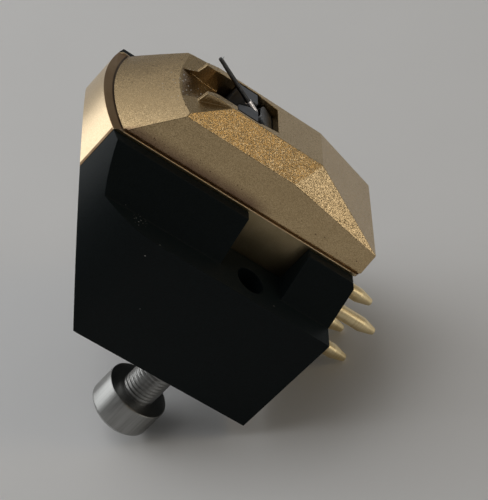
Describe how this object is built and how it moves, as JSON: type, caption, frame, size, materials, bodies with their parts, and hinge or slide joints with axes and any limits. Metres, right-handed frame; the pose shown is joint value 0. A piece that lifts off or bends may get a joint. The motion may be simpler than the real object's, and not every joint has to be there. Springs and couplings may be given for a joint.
{
  "type": "phono cartridge",
  "caption": "Moving-coil phono cartridge: black stepped housing, faceted gold cover, sprung cantilever with a diamond tip, rear terminal pins and headshell screws.",
  "frame": {"origin": "on the mounting face, midway between the two mounting holes", "axes": "+Z away from the headshell, towards the stylus; -Y towards the nose and the stylus end of the cantilever; +Y along the terminal pins; +X across the mounting holes"},
  "size_m": [0.0172, 0.0258, 0.0234],
  "materials": {
    "black_housing": "satin black",
    "gold_frame": "satin champagne gold anodising",
    "gold_cover": "satin gold anodising with a fine grain",
    "yoke_steel": "dark grey, satin",
    "magnet_plate": "nickel plating",
    "pole_steel": "plain",
    "screw_steel": "polished",
    "spring_wire": "drawn wire",
    "terminal_plastic": "satin black",
    "lead_board": "green board",
    "gold_plating": "gold plated",
    "red_insulation": "insulated wire",
    "green_insulation": "insulated wire",
    "white_insulation": "insulated wire",
    "blue_insulation": "insulated wire",
    "damper_rubber": "soft rubber",
    "coil_copper": "enamelled copper wire",
    "sleeve_aluminium": "bright",
    "cantilever_rod": "dark, smooth",
    "diamond": "polished"
  },
  "bodies": {
    "cartridge_body": {"top_housing": "black_housing", "base_frame": "gold_frame", "bottom_cover": "gold_cover", "front_yoke": "yoke_steel", "magnet": "magnet_plate", "rear_yoke": "yoke_steel", "pole_piece": "pole_steel", "set_screw": "screw_steel", "suspension_wire": "spring_wire", "terminal_block": "terminal_plastic", "lead_strip": "lead_board", "upper_right_pin": "gold_plating", "lower_right_pin": "gold_plating", "upper_left_pin": "gold_plating", "lower_left_pin": "gold_plating", "upper_right_lead": "red_insulation", "lower_right_lead": "green_insulation", "upper_left_lead": "white_insulation", "lower_left_lead": "blue_insulation", "mounting_screw_right": "screw_steel", "mounting_screw_left": "screw_steel"},
    "suspension": {"damper_ring": "damper_rubber"},
    "stylus_arm": {"coil_former": "pole_steel", "right_coil": "coil_copper", "left_coil": "coil_copper", "cantilever_sleeve": "sleeve_aluminium", "cantilever": "cantilever_rod", "stylus_tip": "diamond"}
  },
  "joints": [
    {"name": "stylus_vertical", "type": "hinge", "parent": "cartridge_body", "child": "suspension", "pos_m": [0, -0.00248, 0.01467], "axis": [1, 0, 0], "range_deg": [-1.5, 6], "stiffness_Nm_per_rad": 0.00156},
    {"name": "stylus_lateral", "type": "hinge", "parent": "suspension", "child": "stylus_arm", "pos_m": [0, -0.00248, 0.01467], "axis": [0, 0.4067, 0.9135], "range_deg": [-2, 2], "stiffness_Nm_per_rad": 0.00156}
  ]
}
